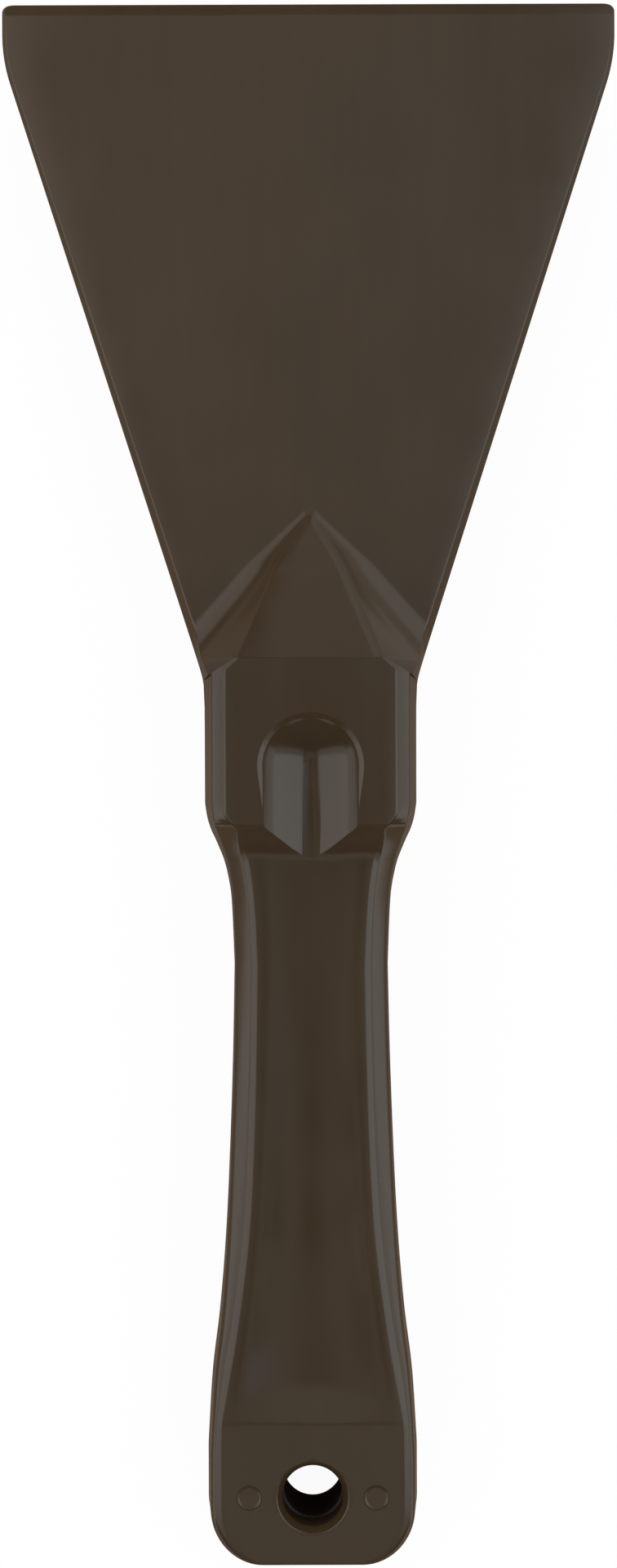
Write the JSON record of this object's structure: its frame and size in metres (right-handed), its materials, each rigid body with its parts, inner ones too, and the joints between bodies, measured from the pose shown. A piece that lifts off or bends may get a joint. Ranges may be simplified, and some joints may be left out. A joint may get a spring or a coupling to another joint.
{
  "type": "grill scraper",
  "caption": "Brown nylon hand scraper for grills: a flared flat blade on a wedge, a waisted octagonal grip with thumb rests, and a rounded butt with a hang hole.",
  "frame": {"origin": "under the middle of the part's outline, on the surface it lies on, back down", "axes": "+Y from the butt to the scraping edge, X across the blade, +Z out of the front face"},
  "size_m": [0.1, 0.2518, 0.024],
  "materials": {
    "blade_nylon": "satin moulded brown nylon",
    "handle_nylon": "satin moulded brown nylon",
    "pin_nylon": "satin moulded brown nylon"
  },
  "bodies": {
    "root": {"blade": "blade_nylon", "handle": "handle_nylon", "lock_pin_left": "pin_nylon", "lock_pin_right": "pin_nylon"}
  },
  "joints": []
}
